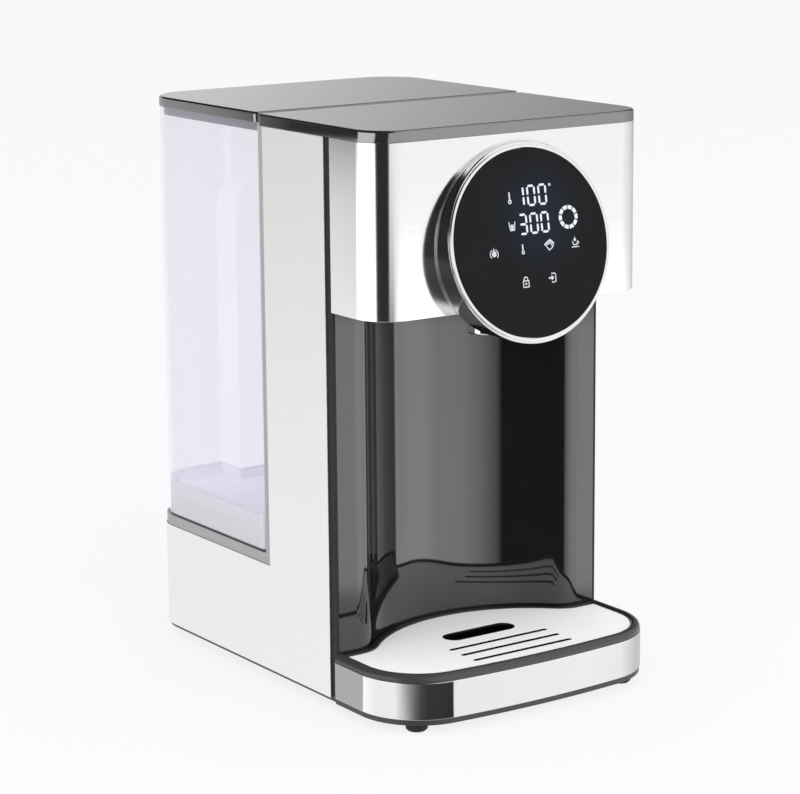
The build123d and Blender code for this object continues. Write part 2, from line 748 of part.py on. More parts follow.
for count in range(vane_count):
    blade = block(rotor_back, rotor_front, 0, impeller_r - vane, -vane / 2, vane / 2)
    rotor += Pos(0, valve_y, pump_axis_z) * Rot(360 * count / vane_count, 0, 0) * blade
rotor += rod_x(shaft_end, rotor_back, valve_y, pump_axis_z, shaft_r)
keep("pump_impeller", rotor)
cradle_x = pump_head_x - motor_length / 2
cradle = block(cradle_x - cradle_length / 2, cradle_x + cradle_length / 2, valve_y - cradle_width / 2,
               valve_y + cradle_width / 2, floor_z, pump_axis_z - cradle_drop)
cradle -= rod_x(motor_end, pump_head_x, valve_y, pump_axis_z, motor_r)
keep("pump_cradle", cradle)

# Flow heater, its bracket on the bay wall, thermostat and outlet sensor
heater = rod(0, heater_y, heater_z, heater_top, heater_r)
heater += rod(0, heater_y, heater_z, heater_z + heater_cap, heater_cap_r)
heater += rod(0, heater_y, heater_top - heater_cap, heater_top, heater_cap_r)
heater += rod(0, heater_y, heater_z - nipple, heater_top + nipple, nipple_r)
pad_x = heater_r + thermostat_pad
pad_z = (heater_z + heater_top) / 2
heater += block(0, pad_x, heater_y - thermostat_r, heater_y + thermostat_r, pad_z - thermostat_r,
                pad_z + thermostat_r)
heater -= rod(0, heater_y, heater_z - nipple, heater_top + nipple, nipple_bore_r)
keep("flow_heater", heater)
bracket_y = wall_y - bracket
clamp_r = heater_r + hose_gap
holder = block(-bracket_width / 2, bracket_width / 2, bracket_y, wall_y, heater_z + clamp_inset,
               heater_top - clamp_inset)
for z in (heater_z + clamp_inset, heater_top - clamp_inset - clamp_height):
    clamp = rod(0, heater_y, z, z + clamp_height, clamp_r + clamp_wall)
    clamp += block(-clamp_web / 2, clamp_web / 2, heater_y, bracket_y, z, z + clamp_height)
    holder += clamp - rod(0, heater_y, z, z + clamp_height, clamp_r)
keep("heater_bracket", holder)
keep("thermostat", rod_x(pad_x, pad_x + thermostat, heater_y, pad_z, thermostat_r))
keep("outlet_sensor", rod(sensor_x, heater_y, heater_top, heater_top + sensor_length, sensor_r))

# Silicone hoses: tank to pump, pump to heater, heater to steam separator
hose_in = nipple_r + hose_gap
hose_out = hose_in + hose_wall
inlet_start = (outlet_x, valve_y, socket_z - nipple + hose_grip)
inlet_end = (pump_front_x + nipple - hose_grip, valve_y, pump_axis_z)
inlet_turn = min(hose_bend, socket_z - nipple - pump_axis_z - touch)
inlet = [inlet_start, (outlet_x, valve_y, pump_axis_z), inlet_end]
keep("inlet_hose", hose(inlet, inlet_turn, hose_out, hose_in))
feed = [(pump_middle, outlet_y + hose_grip, pump_axis_z), (pump_middle, heater_y, pump_axis_z),
        (0, heater_y, pump_axis_z), (0, heater_y, heater_z - nipple + hose_grip)]
feed_turn = min(hose_bend, -pump_middle / 2 - touch)
keep("feed_hose", hose(feed, feed_turn, hose_out, hose_in))
hot = [(0, heater_y, heater_top + nipple - hose_grip), (0, heater_y, inlet_z),
       (0, nozzle_y + separator_r + nipple - hose_grip, inlet_z)]
keep("hot_hose", hose(hot, hose_bend, hose_out, hose_in))

# Power board with its parts, and the wire harness up to the display board
board_top = board_z + board
power = block(power_x, power_x + power_width, power_y, power_y + power_length, board_z, board_top)
connector_x = power_x + power_width / 2
power += block(connector_x - connector_width / 2, connector_x + connector_width / 2, power_y,
               power_y + connector_depth, board_top, board_top + connector_height)
transformer = Box(transformer_width, transformer_depth, transformer_height)
power += Pos(connector_x, power_y + transformer_setback, board_top + transformer_height / 2) * transformer
relay = Box(relay_width, relay_depth, relay_height)
power += Pos(connector_x, power_y + relay_setback, board_top + relay_height / 2) * relay
for side in (-1, 1):
    power += rod(connector_x + side * capacitor_x, power_y + capacitor_setback, board_top,
                 board_top + capacitor_height, capacitor_r)
keep("power_board", power)
wire_z = board_top + connector_height / 2
wire_y = bay_y - harness_drop
display_z = disc_z + harness_height
harness = [(connector_x, power_y, wire_z), (connector_x, wire_y, wire_z), (connector_x, wire_y, display_z),
           (harness_x, column_y, display_z), (harness_x, head_y - disc_reach, display_z)]
keep("wire_harness", hose(harness, harness_bend, harness_r) - slant * Pos(0, 0, -board_back) * ahead)

# Rear cover with its vents, screws and cable gland
rear = block(-rear_cover_half, rear_cover_half, rear_in_y, rear_y, floor_z, deck_z)
lip_half = rear_cover_half + rear_lip
rear += block(-lip_half, lip_half, rear_in_y, rear_y - steel, floor_z, deck_z)
vent_cut = Box(vent_width, 4 * rear_cover, vent_height)
for count in range(vent_count):
    x = (count - (vent_count - 1) / 2) * vent_pitch
    rear -= Pos(x, rear_y, floor_z + vent_rise) * vent_cut
rear_screws = []
for side in (-1, 1):
    x = side * rear_post_x
    z = floor_z + rear_screw_height
    head_back = rear_y - screw_sink
    rear -= rod_y(x, rear_in_y, rear_y, z, screw_r + screw_gap)
    rear -= rod_y(x, head_back - screw_head, rear_y, z, screw_head_r + screw_gap)
    rear_screws.append(rod_y(x, head_back - screw_head, head_back, z, screw_head_r)
                       + rod_y(x, head_back - rear_post_depth, head_back - screw_head, z, screw_r))
gland_z = floor_z + gland_rise
rear -= rod_y(gland_x, rear_in_y, rear_y, gland_z, gland_r + screw_gap)
rear -= rod_y(gland_x, rear_y - gland_flange, rear_y, gland_z, gland_flange_r + screw_gap)
keep("rear_cover", rear)
keep("rear_screws", Compound(rear_screws))
gland = rod_y(gland_x, rear_y - gland_flange, rear_y, gland_z, gland_flange_r)
gland += rod_y(gland_x, rear_y - gland_length, rear_y, gland_z, gland_r)
gland -= rod_y(gland_x, rear_y - gland_length, rear_y, gland_z, gland_bore_r)
keep("cable_gland", gland)

# Drip tray: fixed tray base with its edge and steel band, lift-out tub and steel plate
base_in = tray_band + tray_base_wall
base_back = tray_back_gap + tray_base_back
tray_base = prism(tray_face(tray_band, tray_back_gap), floor_z, band_top)
tray_base -= prism(tray_face(base_in, base_back), floor_z + tray_base_floor, band_top)
frame = prism(tray_face(tray_frame_inset, tray_back_gap), band_top, frame_top)
frame_edges = [edge for edge in frame.edges().group_by(Axis.Z)[-1]
               if (edge @ 0.5).Y < column_y - 2 * tray_back_gap]
frame = fillet(frame_edges, tray_frame_round)
tray_base += frame - prism(tray_face(base_in, -tray_base_back), band_top, frame_top)
keep("tray_base", tray_base)
keep("tray_band", prism(tray_face(0, tray_back_gap) - tray_face(tray_band, tray_back_gap), floor_z, band_top)
     & block(-body_width, body_width, front_y, column_y - tray_back_gap, floor_z, band_top))
tub_in = base_in + tub_gap
tub_back = base_back + tub_back_gap
tub_z = floor_z + tray_base_floor + touch
pocket_in = tub_in + tub_wall
pocket_back = tub_back + tub_back_wall
tub = prism(tray_face(tub_in, tub_back), tub_z, band_top)
tub += prism(tray_face(tub_in, tray_back_gap + touch), band_top, tub_top)
tub -= prism(tray_face(pocket_in, pocket_back), plate_z, tub_top)
tub -= prism(tray_face(pocket_in + tub_ledge, pocket_back + tub_ledge), tub_z + tub_floor, plate_z)
keep("drip_tub", tub)
plate_face = tray_face(pocket_in + plate_gap, pocket_back + plate_gap)
wide_y = front_y + wide_slot_setback
plate_face -= Pos(0, wide_y) * SlotOverall(wide_slot_length, wide_slot_width)
for count in range(thin_slot_count):
    y = wide_y - thin_slot_step - count * thin_slot_pitch
    plate_face -= Pos(0, y) * SlotOverall(thin_slot_length, thin_slot_width)
keep("drip_plate", prism(plate_face, plate_z, plate_top))

os.makedirs("parts", exist_ok=True)
for name, shape in parts.items():
    export_step(shape, f"parts/{name}.step")
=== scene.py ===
import json
import math

import bmesh
import bpy
from mathutils import Matrix, Vector


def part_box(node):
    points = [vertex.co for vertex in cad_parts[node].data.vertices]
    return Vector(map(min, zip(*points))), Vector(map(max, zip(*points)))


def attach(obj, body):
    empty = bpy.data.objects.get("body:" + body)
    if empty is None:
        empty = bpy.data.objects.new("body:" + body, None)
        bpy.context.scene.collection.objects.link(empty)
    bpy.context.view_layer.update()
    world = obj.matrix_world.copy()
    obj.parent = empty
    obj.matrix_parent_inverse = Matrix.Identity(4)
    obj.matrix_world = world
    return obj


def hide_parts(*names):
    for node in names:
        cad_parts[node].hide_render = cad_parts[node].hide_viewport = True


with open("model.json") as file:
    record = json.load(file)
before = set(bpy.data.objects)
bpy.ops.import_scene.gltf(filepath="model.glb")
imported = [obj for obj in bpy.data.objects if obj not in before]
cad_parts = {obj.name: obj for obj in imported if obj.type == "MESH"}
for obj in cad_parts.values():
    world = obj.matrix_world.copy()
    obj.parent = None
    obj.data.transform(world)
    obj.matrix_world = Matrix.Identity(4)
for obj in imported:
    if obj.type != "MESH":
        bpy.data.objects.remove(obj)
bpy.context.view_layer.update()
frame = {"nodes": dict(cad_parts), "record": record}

MM = 0.001

# Camera at the photograph's viewing angle, in metres and degrees
EYE = (-0.8622, -1.2492, 0.4833)
HEADING = 34.585
PITCH = 12.26
ROLL = -0.495
LENS = 122.27
SENSOR = 36.0
CLIP = (0.05, 60.0)

# Studio
BACKDROP = (0.960, 0.967, 0.985, 1.0)
FLOOR_RADIUS = 14.0
FLOOR_SEGMENTS = 96
FLOOR_GLOW = 0.86          # share of the floor's tone that needs no light
FLOOR_TONE = 0.66
FILL_STRENGTH = 1.2        # world light on matt surfaces
BODY_AIM = (0.0, 0.0, 0.16)
TRAY_AIM = (0.0, -0.1, 0.03)
LAMP_SIZE = 1.2
SOFT_LAMPS = {             # place, aim and watts
    "left_softbox": ((-1.6, -0.5, 1.1), BODY_AIM, 7.0),
    "right_softbox": ((1.3, -1.5, 1.2), BODY_AIM, 5.0),
    "front_softbox": ((-0.2, -2.0, 1.0), TRAY_AIM, 33.0),
}

# What polished surfaces mirror, by compass direction from the front in degrees
# (negative is the object's left), in rows from the floor up
SOLE_ROW = [(-180, 0.80), (180, 0.80)]
NEAR_ROW = [(-180, 0.92), (-70, 0.92), (-60, 0.05), (-4, 0.05), (3, 0.92), (180, 0.92)]
FLOOR_ROW = [(-180, 1.00), (-160, 1.10), (-150, 1.10), (-148, 0.46), (-143, 0.46), (-141, 1.10), (-112, 0.95),
             (-76, 0.95), (-66, 0.68), (-54, 0.36), (-43, 0.15), (-32, 0.06), (-20, 0.04), (23.2, 0.03),
             (24.0, 0.92), (45, 0.96), (60, 0.85), (95, 0.62), (130, 0.60), (155, 0.85), (180, 1.00)]
WALL_ROW = [(-180, 1.05), (-149, 1.05), (-146, 1.00), (-142, 1.05), (-136, 1.60), (-71, 1.60), (-65, 0.02),
            (-15, 0.02), (-12, 0.70), (-2, 1.43), (11, 2.00), (25, 2.15), (33, 2.05), (46, 2.40), (58, 2.20),
            (70, 1.75), (90, 1.50), (138, 0.60), (152, 0.95), (180, 1.05)]
HEAD_ROW = [(-180, 1.00), (-149, 0.98), (-146, 0.76), (-142, 0.80), (-136, 1.60), (-71, 1.60), (-65, 0.02),
            (-29, 0.02), (-25, 0.88), (50, 0.92), (90, 0.78), (138, 0.50), (152, 0.95), (180, 1.00)]
LAMP_ROW = [(-180, 0.95), (-149.3, 0.82), (-148.5, 0.03), (-129, 0.03), (-125, 1.70), (-71, 1.70), (-65, 0.02),
            (-29, 0.02), (-25, 0.98), (50, 1.02), (90, 0.70), (139, 0.40), (144, 0.64), (150, 1.02), (180, 0.92)]
UPPER_ROW = [(-180, 0.01), (-10, 0.01), (-4, 0.95), (100, 0.90), (112, 0.01), (180, 0.01)]
CEILING_ROW = [(-180, 0.01), (20, 0.01), (40, 0.80), (110, 0.80), (130, 0.01), (180, 0.01)]
ROW_EDGES = [              # lower edge in degrees above the horizon, half its blur, and the row
    (-42.0, 3.0, NEAR_ROW), (-33.0, 2.0, FLOOR_ROW), (-16.35, 0.12, WALL_ROW), (-10.45, 0.25, HEAD_ROW),
    (-7.05, 0.15, LAMP_ROW), (14.0, 3.0, UPPER_ROW), (46.0, 4.0, CEILING_ROW),
]

# Outer pieces that copies replace, with the rounding of their edges in millimetres
EDGES = {
    "head_band": 0.3, "head_shell": 0.4, "top_cover": 0.5, "tank_lid": 0.7, "disc_drum": 0.25, "disc_ring": 0.25,
    "control_glass": 0.2, "spout_nozzle": 0.25, "left_corner_post": 0.4, "right_corner_post": 0.4,
    "left_side_panel": 0.3, "right_side_panel": 0.3, "base": 0.4, "feet": 0.5, "cable_gland": 0.3,
    "tank_bay": 0.5, "tank_socket": 0.3, "tray_band": 0.3, "drip_tub": 0.5, "drip_plate": 0.0,
    "rear_screws": 0.2, "base_screws": 0.2,
}
EDGE_STEPS = 3
EDGE_ANGLE = 34.0          # sharper edges than this are rounded, in degrees
FLAT_ANGLE = 0.5           # faces that bend less than this to their neighbours are flat
EVEN_WEIGHT = 100          # how far large faces decide the shading of rounded edges
WELD = 0.000002            # joins the loose triangles of a CAD copy
SLOT_MARGIN = (0.040, 0.010, 0.024)  # the plate's slots lie this far inside its sides, front and back
WALL_SLOPE = 0.5           # walls of the slots face up or down by less than this

# Tank: heights above the floor
SKIRT_TOP = 0.0955         # top of the frosted part
SKIRT_BLUR = 0.001
SKIRT_FOOT = 0.0745        # lower edge
PAINTED_SHADOW_HEIGHT = 0.0018      # painted shadow line at the lower edge, standing in for the shade where the tank meets the deck
PAINTED_SHADOW_BLUR = 0.0004
TANK_INSIDE = 0.0877       # half of the width inside the walls, where painted light brightens the tank's floor
TANK_INSIDE_BLUR = 0.0003
TANK_TINTS = ((0.62, 0.61, 0.76, 1.0), (0.66, 0.65, 0.79, 1.0))
FROST_TINT = (0.54, 0.53, 0.57, 1.0)
TANK_FLOOR_PAINTED_LIGHT = (0.27, 0.26, 0.30, 1.0)
CLEAR_ALPHA = 0.13
FROST_ALPHA = 0.80

# Display: places in millimetres right of and above the middle of the control glass
GLASS_TILT = 9.8           # degrees, the glass's face is turned up
GLASS_HALF = 1.0           # half the glass's thickness
GLOW_AT = (0.006, 0.0, 0.014)  # middle of the display's glow, in metres from the glass's middle
GLOW_REACH = 0.038
MARK_DEPTH = 0.05
MARK_WELD = 0.001
NUMERAL = (4.5, 10.1)      # width and height between the middles of the bars
NUMERAL_BAR = 1.25
BAR_GAP = 0.45
BAR_CORNERS = 12
LIT_BARS = {"0": "abcdef", "1": "bc", "3": "abcdg"}
UPPER_FIGURES = [("1", -4.7, 24.8), ("0", 2.7, 24.8), ("0", 10.1, 24.8)]
LOWER_FIGURES = [("3", -4.4, 10.1), ("0", 2.8, 10.1), ("0", 10.0, 10.1)]
DEGREE_AT = (15.4, 29.5)
DEGREE_RADII = (0.35, 0.75)
DIAL_AT = (25.8, 11.3)
DIAL_RADII = (4.3, 6.3)
DIAL_PARTS = 10
DIAL_GAP = 7.0
ICON_LINE = 0.6
ARC_STEP = 12.0            # degrees between the corners of an arc
DROP_CORNERS = 20


class Socket:
    """A node's output that takes part in plain arithmetic."""

    def __init__(self, finish, output):
        self.finish = finish
        self.output = output

    def math(self, operation, first, second):
        return self.finish.node("ShaderNodeMath", {"operation": operation}, {0: first, 1: second})

    def __add__(self, other):
        return self.math("ADD", self, other)

    def __radd__(self, other):
        return self.math("ADD", other, self)

    def __sub__(self, other):
        return self.math("SUBTRACT", self, other)

    def __rsub__(self, other):
        return self.math("SUBTRACT", other, self)

    def __mul__(self, other):
        return self.math("MULTIPLY", self, other)

    def __rmul__(self, other):
        return self.math("MULTIPLY", other, self)

    def __truediv__(self, other):
        return self.math("DIVIDE", self, other)


class Finish:
    """A node tree under construction: a material or the world."""

    def __init__(self, owner):
        owner.use_nodes = True
        self.owner = owner
        self.tree = owner.node_tree

    def node(self, kind, settings=None, sockets=None, output=0):
        made = self.tree.nodes.new(kind)
        for name, value in (settings or {}).items():
            if name == "stops":
                fill_ramp(made.color_ramp, value)
            else:
                setattr(made, name, value)
        for name, value in (sockets or {}).items():
            self.feed(made.inputs[name], value)
        return Socket(self, made.outputs[output])

    def feed(self, socket, value):
        if isinstance(value, Socket):
            self.tree.links.new(value.output, socket)
        else:
            socket.default_value = value

    def place(self, scale=(1, 1, 1), shift=(0, 0, 0)):
        """Object coordinates, scaled and shifted."""
        at = self.node("ShaderNodeTexCoord", output="Object")
        return self.node("ShaderNodeMapping", None, {"Vector": at, "Scale": scale, "Location": shift})

    def noise(self, scale, vector=None, detail=3.0, rough=0.55):
        """Noise from 0 to 1; scale is in cycles a metre unless the vector is scaled."""
        return self.node("ShaderNodeTexNoise", None, {"Vector": vector or self.place(), "Scale": scale,
                                                      "Detail": detail, "Roughness": rough})

    def blend(self, share, first, second):
        """Colour between two colours."""
        return self.node("ShaderNodeMix", {"data_type": "RGBA"}, {"Factor": share, 6: first, 7: second}, output=2)

    def bump(self, height, strength, distance):
        return self.node("ShaderNodeBump", None, {"Height": height, "Strength": strength, "Distance": distance})

    def rise(self, value, start, end, curve="LINEAR"):
        """From 0 where the value is start to 1 where it is end."""
        return self.node("ShaderNodeMapRange", {"interpolation_type": curve}, {"Value": value, 1: start, 2: end})

    def surface(self, **sockets):
        """Sets the shader's inputs; an underscore stands for a space in their names."""
        shader = self.tree.nodes["Principled BSDF"]
        for name, value in sockets.items():
            self.feed(shader.inputs[name.replace("_", " ")], value)
        return self.owner


def fill_ramp(ramp, stops):
    while len(ramp.elements) < len(stops):
        ramp.elements.new(1.0)
    for element, (at, tone) in zip(ramp.elements, stops):
        element.position = at
        element.color = (tone, tone, tone, 1.0)


def new_finish(name):
    return Finish(bpy.data.materials.new(name))


def grey(tone):
    return (tone, tone, tone, 1.0)


# Finishes
def brushed_steel(name, grain, tone=0.88, rough=0.24, contrast=0.05, stretch=0.0, metal=1.0):
    """Brushed stainless sheet; grain is cycles a metre along X, Y and Z, low along the brush lines."""
    finish = new_finish(name)
    lines = finish.noise(1.0, finish.place(grain), detail=4.0, rough=0.65)
    clouds = finish.noise(9.0, detail=2.0)
    base = finish.blend(lines, grey(tone * (1 - contrast)), grey(min(tone * (1 + contrast), 0.97)))
    relief = finish.bump(lines, contrast, 0.00004)
    return finish.surface(Base_Color=base, Metallic=metal, Roughness=rough - contrast + lines * (2 * contrast)
                          + clouds * 0.03, Anisotropic=stretch, Anisotropic_Rotation=0.25, Normal=relief)


def polished_chrome():
    finish = new_finish("polished_chrome")
    haze = finish.noise(60.0, detail=4.0)
    base = finish.blend(haze, grey(0.82), grey(0.88))
    return finish.surface(Base_Color=base, Metallic=1.0, Roughness=0.03 + haze * 0.04)


def gloss_dark():
    """Dark polished moulding of the top cover and the tank lid."""
    finish = new_finish("gloss_dark")
    haze = finish.noise(40.0, detail=5.0)
    base = finish.blend(haze, grey(0.010), grey(0.016))
    return finish.surface(Base_Color=base, Roughness=0.02 + haze * 0.04, IOR=3.2)


def smoked_gloss():
    """Smoked mirror-like column."""
    finish = new_finish("smoked_gloss")
    haze = finish.noise(30.0, detail=4.0)
    base = finish.blend(haze, grey(0.004), grey(0.007))
    return finish.surface(Base_Color=base, Roughness=0.02 + haze * 0.04, IOR=1.72)


def moulded_plastic(name, colour, rough=0.45, fine=0.12, ior=1.5):
    """Moulded plastic with a fine spark texture."""
    finish = new_finish(name)
    spark = finish.noise(2600.0, detail=2.0)
    clouds = finish.noise(35.0, detail=3.0)
    darker = tuple(c * 0.86 for c in colour) + (1.0,)
    base = finish.blend(clouds, darker, tuple(colour) + (1.0,))
    relief = finish.bump(spark, fine, 0.00006)
    return finish.surface(Base_Color=base, Roughness=rough - 0.06 + clouds * 0.12, IOR=ior, Normal=relief)


def clear_tank():
    """Clear tank, frosted up to its floor, with a painted shadow line at its lower edge where it meets the deck,
    and painted light on its floor inside the walls.
    """
    finish = new_finish("tank_clear")
    ripple = finish.noise(28.0, detail=2.0)
    axes = finish.node("ShaderNodeSeparateXYZ", None, {0: finish.place()}).output.node.outputs
    height = Socket(finish, axes[2])
    painted_shadow_top = SKIRT_FOOT + PAINTED_SHADOW_HEIGHT
    skirt = finish.rise(height, SKIRT_TOP + SKIRT_BLUR, SKIRT_TOP - SKIRT_BLUR)
    # painted shadow: a near-black band along the tank's lower edge stands in for the shade between the tank and
    # the deck
    painted_shadow = finish.rise(height, painted_shadow_top, painted_shadow_top - PAINTED_SHADOW_BLUR)
    frost = finish.blend(skirt, finish.blend(ripple, *TANK_TINTS), FROST_TINT)
    base = finish.blend(painted_shadow, frost, grey(0.02))
    # painted light: emission on the tank's floor inside the walls, below the frosted top, stands in for light
    # reaching it
    across = height.math("ABSOLUTE", Socket(finish, axes[0]), 0.0)
    inner = finish.rise(across, TANK_INSIDE + TANK_INSIDE_BLUR, TANK_INSIDE)
    glow = finish.blend(inner * skirt, grey(0.0), TANK_FLOOR_PAINTED_LIGHT)
    return finish.surface(Base_Color=base, Roughness=0.06 + ripple * 0.06, IOR=1.3,
                          Alpha=CLEAR_ALPHA + skirt * (FROST_ALPHA - CLEAR_ALPHA), Emission_Color=glow,
                          Emission_Strength=1.0)


def black_glass():
    """Control glass with the faint blue light of the display behind it."""
    finish = new_finish("black_glass")
    depth = finish.noise(25.0, detail=3.0)
    base = finish.blend(depth, (0.005, 0.005, 0.005, 1.0), (0.007, 0.007, 0.008, 1.0))
    around = finish.place(shift=[-(a + b) / 2 - aside for a, b, aside in zip(*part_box("control_glass"), GLOW_AT)])
    spread = finish.node("ShaderNodeVectorMath", {"operation": "LENGTH"}, {0: around}, output="Value")
    near = finish.rise(spread, GLOW_REACH, 0.0, "SMOOTHERSTEP")
    glow = finish.blend(near, grey(0.0), (0.002, 0.009, 0.026, 1.0))
    return finish.surface(Base_Color=base, Roughness=0.03 + depth * 0.03, IOR=1.18, Emission_Color=glow,
                          Emission_Strength=1.0)


def lit_mark(name, colour):
    """Lit numerals and icons of the display."""
    finish = new_finish(name)
    flicker = finish.noise(900.0, detail=1.0)
    shade = finish.blend(flicker, tuple(c * 0.86 for c in colour) + (1.0,), tuple(colour) + (1.0,))
    return finish.surface(Base_Color=grey(0.02), Roughness=0.4, Emission_Color=shade, Emission_Strength=1.0)


def finishes():
    """The finish of every CAD node."""
    dark_plastic = moulded_plastic("dark_plastic", (0.030, 0.030, 0.032), rough=0.38)
    heater_metal = brushed_steel("heater_metal", (60, 60, 400), tone=0.62, rough=0.38)
    by_finish = {
        brushed_steel("head_steel", (9, 9, 1700), rough=0.11, contrast=0.03, stretch=0.35): ["head_band"],
        brushed_steel("tray_steel", (9, 9, 1700), rough=0.03, contrast=0.01): ["tray_band"],
        brushed_steel("panel_steel", (26, 26, 1500), rough=0.40, contrast=0.04): [
            "left_side_panel", "right_side_panel"],
        brushed_steel("plate_steel", (60, 700, 60), tone=0.93, rough=0.42, contrast=0.10, metal=0.12): [
            "drip_plate"],
        polished_chrome(): ["disc_drum", "disc_ring", "spout_nozzle"],
        gloss_dark(): ["top_cover", "tank_lid"],
        smoked_gloss(): ["column_front"],
        moulded_plastic("post_plastic", (0.020, 0.020, 0.021), rough=0.40, ior=1.2): [
            "left_corner_post", "right_corner_post"],
        clear_tank(): ["tank_shell"],
        black_glass(): ["control_glass"],
        moulded_plastic("rubber", (0.016, 0.016, 0.017), rough=0.7, fine=0.3): [
            "feet", "pump_cradle", "socket_seal", "valve_seal", "cable_gland"],
        dark_plastic: ["base", "head_shell", "rear_cover", "display_frame", "pump_head", "steam_separator"],
        moulded_plastic("frame_plastic", (0.034, 0.034, 0.036), rough=0.28): ["tray_base"],
        moulded_plastic("tub_plastic", (0.012, 0.012, 0.013), rough=0.22): ["drip_tub"],
        moulded_plastic("white_plastic", (0.72, 0.72, 0.71)): [
            "valve_cage", "valve_plunger", "tank_filter", "pump_impeller"],
        moulded_plastic("grey_plastic", (0.31, 0.31, 0.32), rough=0.42, fine=0.03): ["tank_bay", "tank_socket"],
        moulded_plastic("silicone", (0.66, 0.65, 0.63), rough=0.5, fine=0.05): [
            "inlet_hose", "feed_hose", "hot_hose"],
        moulded_plastic("board_green", (0.03, 0.16, 0.07), rough=0.4): ["display_board", "power_board"],
        moulded_plastic("wire_black", (0.02, 0.02, 0.02), rough=0.5): ["wire_harness"],
        heater_metal: ["flow_heater", "heater_bracket", "pump_motor", "thermostat", "outlet_sensor"],
        brushed_steel("bright_steel", (90, 90, 90), tone=0.74, rough=0.3): [
            "base_screws", "rear_screws", "valve_spring"],
    }
    return {name: finish for finish, names in by_finish.items() for name in names}


# Pieces
def add_piece(name, mesh, finish, body):
    """Turns a finished bmesh into an object that rides on a body."""
    data = bpy.data.meshes.new(name)
    mesh.to_mesh(data)
    mesh.free()
    data.materials.append(finish)
    piece = bpy.data.objects.new(name, data)
    bpy.context.scene.collection.objects.link(piece)
    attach(piece, body)
    return piece


def round_edges(node, radius, finish, slot_shade_finish=None):
    """Replaces a CAD node by a copy with its sharp edges rounded; slot_shade_finish goes on its slots' walls as
    painted shade.
    """
    mesh = bmesh.new()
    mesh.from_mesh(frame["nodes"][node].data)
    bmesh.ops.remove_doubles(mesh, verts=mesh.verts, dist=WELD)
    for face in mesh.faces:
        bends = [math.degrees(edge.calc_face_angle(0.0)) for edge in face.edges]
        face.smooth = any(FLAT_ANGLE < bend < EDGE_ANGLE for bend in bends)
        face.material_index = 0
    # painted shade: faces of the slots' walls get the second, dark finish
    if slot_shade_finish:
        low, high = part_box(node)
        side, front, back = SLOT_MARGIN
        for face in mesh.faces:
            x, y, _ = face.calc_center_median()
            inside = low[0] + side < x < high[0] - side and low[1] + front < y < high[1] - back
            face.material_index = int(inside and abs(face.normal.z) < WALL_SLOPE)
    body = next(body for body, nodes in frame["record"]["behaviour"]["bodies"].items() if node in nodes)
    piece = add_piece(node + "_rounded", mesh, finish, body)
    if slot_shade_finish:
        piece.data.materials.append(slot_shade_finish)
    if radius:
        rounding = piece.modifiers.new("rounded_edges", "BEVEL")
        rounding.width = radius * MM
        rounding.segments = EDGE_STEPS
        rounding.limit_method = "ANGLE"
        rounding.angle_limit = math.radians(EDGE_ANGLE)
        rounding.miter_outer = "MITER_ARC"
        evening = piece.modifiers.new("even_faces", "WEIGHTED_NORMAL")
        evening.mode = "FACE_AREA"
        evening.weight = EVEN_WEIGHT
    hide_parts(node)
    next(row["material_slot"] for row in frame["record"]["subparts"] if row["node"] == node)


# Display marks, drawn flat in X and Y and then set on the glass
def bar(mesh, start, end, width):
    """A round-ended bar from start to end."""
    verts = bmesh.ops.create_circle(mesh, cap_ends=True, segments=BAR_CORNERS, radius=width / 2)["verts"]
    run = Vector(end) - Vector(start)
    reach = max(run.length - width, 0.0) / 2
    for side in (1, -1):
        bmesh.ops.translate(mesh, verts=[v for v in verts if v.co.y * side > 0], vec=(0, side * reach, 0))
    bmesh.ops.rotate(mesh, verts=verts, matrix=Matrix.Rotation(math.atan2(-run.x, run.y), 3, "Z"))
    bmesh.ops.translate(mesh, verts=verts, vec=((Vector(start) + Vector(end)) / 2).to_3d())


def line(mesh, *points, width=ICON_LINE):
    """A bent line of round-ended bars."""
    for start, end in zip(points, points[1:]):
        lap = (Vector(end) - Vector(start)).normalized() * (width / 2)
        bar(mesh, Vector(start) - lap, Vector(end) + lap, width)


def arc(mesh, at, inner, outer, start=0.0, sweep=360.0):
    """A flat ring or a stretch of one, clockwise from the top in degrees."""
    spoke = [mesh.verts.new((0, radius, 0)) for radius in (inner, outer)]
    edge = mesh.edges.new(spoke)
    bmesh.ops.rotate(mesh, verts=spoke, matrix=Matrix.Rotation(math.radians(-start), 3, "Z"))
    bmesh.ops.translate(mesh, verts=spoke, vec=(*at, 0))
    bmesh.ops.spin(mesh, geom=spoke + [edge], cent=(*at, 0), axis=(0, 0, -1), angle=math.radians(sweep),
                   steps=max(4, round(sweep / ARC_STEP)), use_merge=sweep == 360.0)


def drop(mesh, at, radius, height):
    """A drop with its tip up; height is from its middle to its tip."""
    verts = bmesh.ops.create_circle(mesh, cap_ends=True, segments=DROP_CORNERS, radius=radius)["verts"]
    tip = [v for v in verts if v.co.y > radius * 0.99]
    bmesh.ops.translate(mesh, verts=tip, vec=(0, height - radius, 0))
    bmesh.ops.translate(mesh, verts=verts, vec=(*at, 0))


def numeral(mesh, figure, x, y):
    """A seven-bar numeral about its middle."""
    right, top = x + NUMERAL[0] / 2, y + NUMERAL[1] / 2
    left, foot = x - NUMERAL[0] / 2, y - NUMERAL[1] / 2
    bars = {
        "a": ((left, top), (right, top)), "b": ((right, top), (right, y)), "c": ((right, y), (right, foot)),
        "d": ((left, foot), (right, foot)), "e": ((left, y), (left, foot)), "f": ((left, top), (left, y)),
        "g": ((left, y), (right, y)),
    }
    for letter in LIT_BARS[figure]:
        start, end = (Vector(point) for point in bars[letter])
        gap = (end - start).normalized() * BAR_GAP
        bar(mesh, start + gap, end - gap, NUMERAL_BAR)


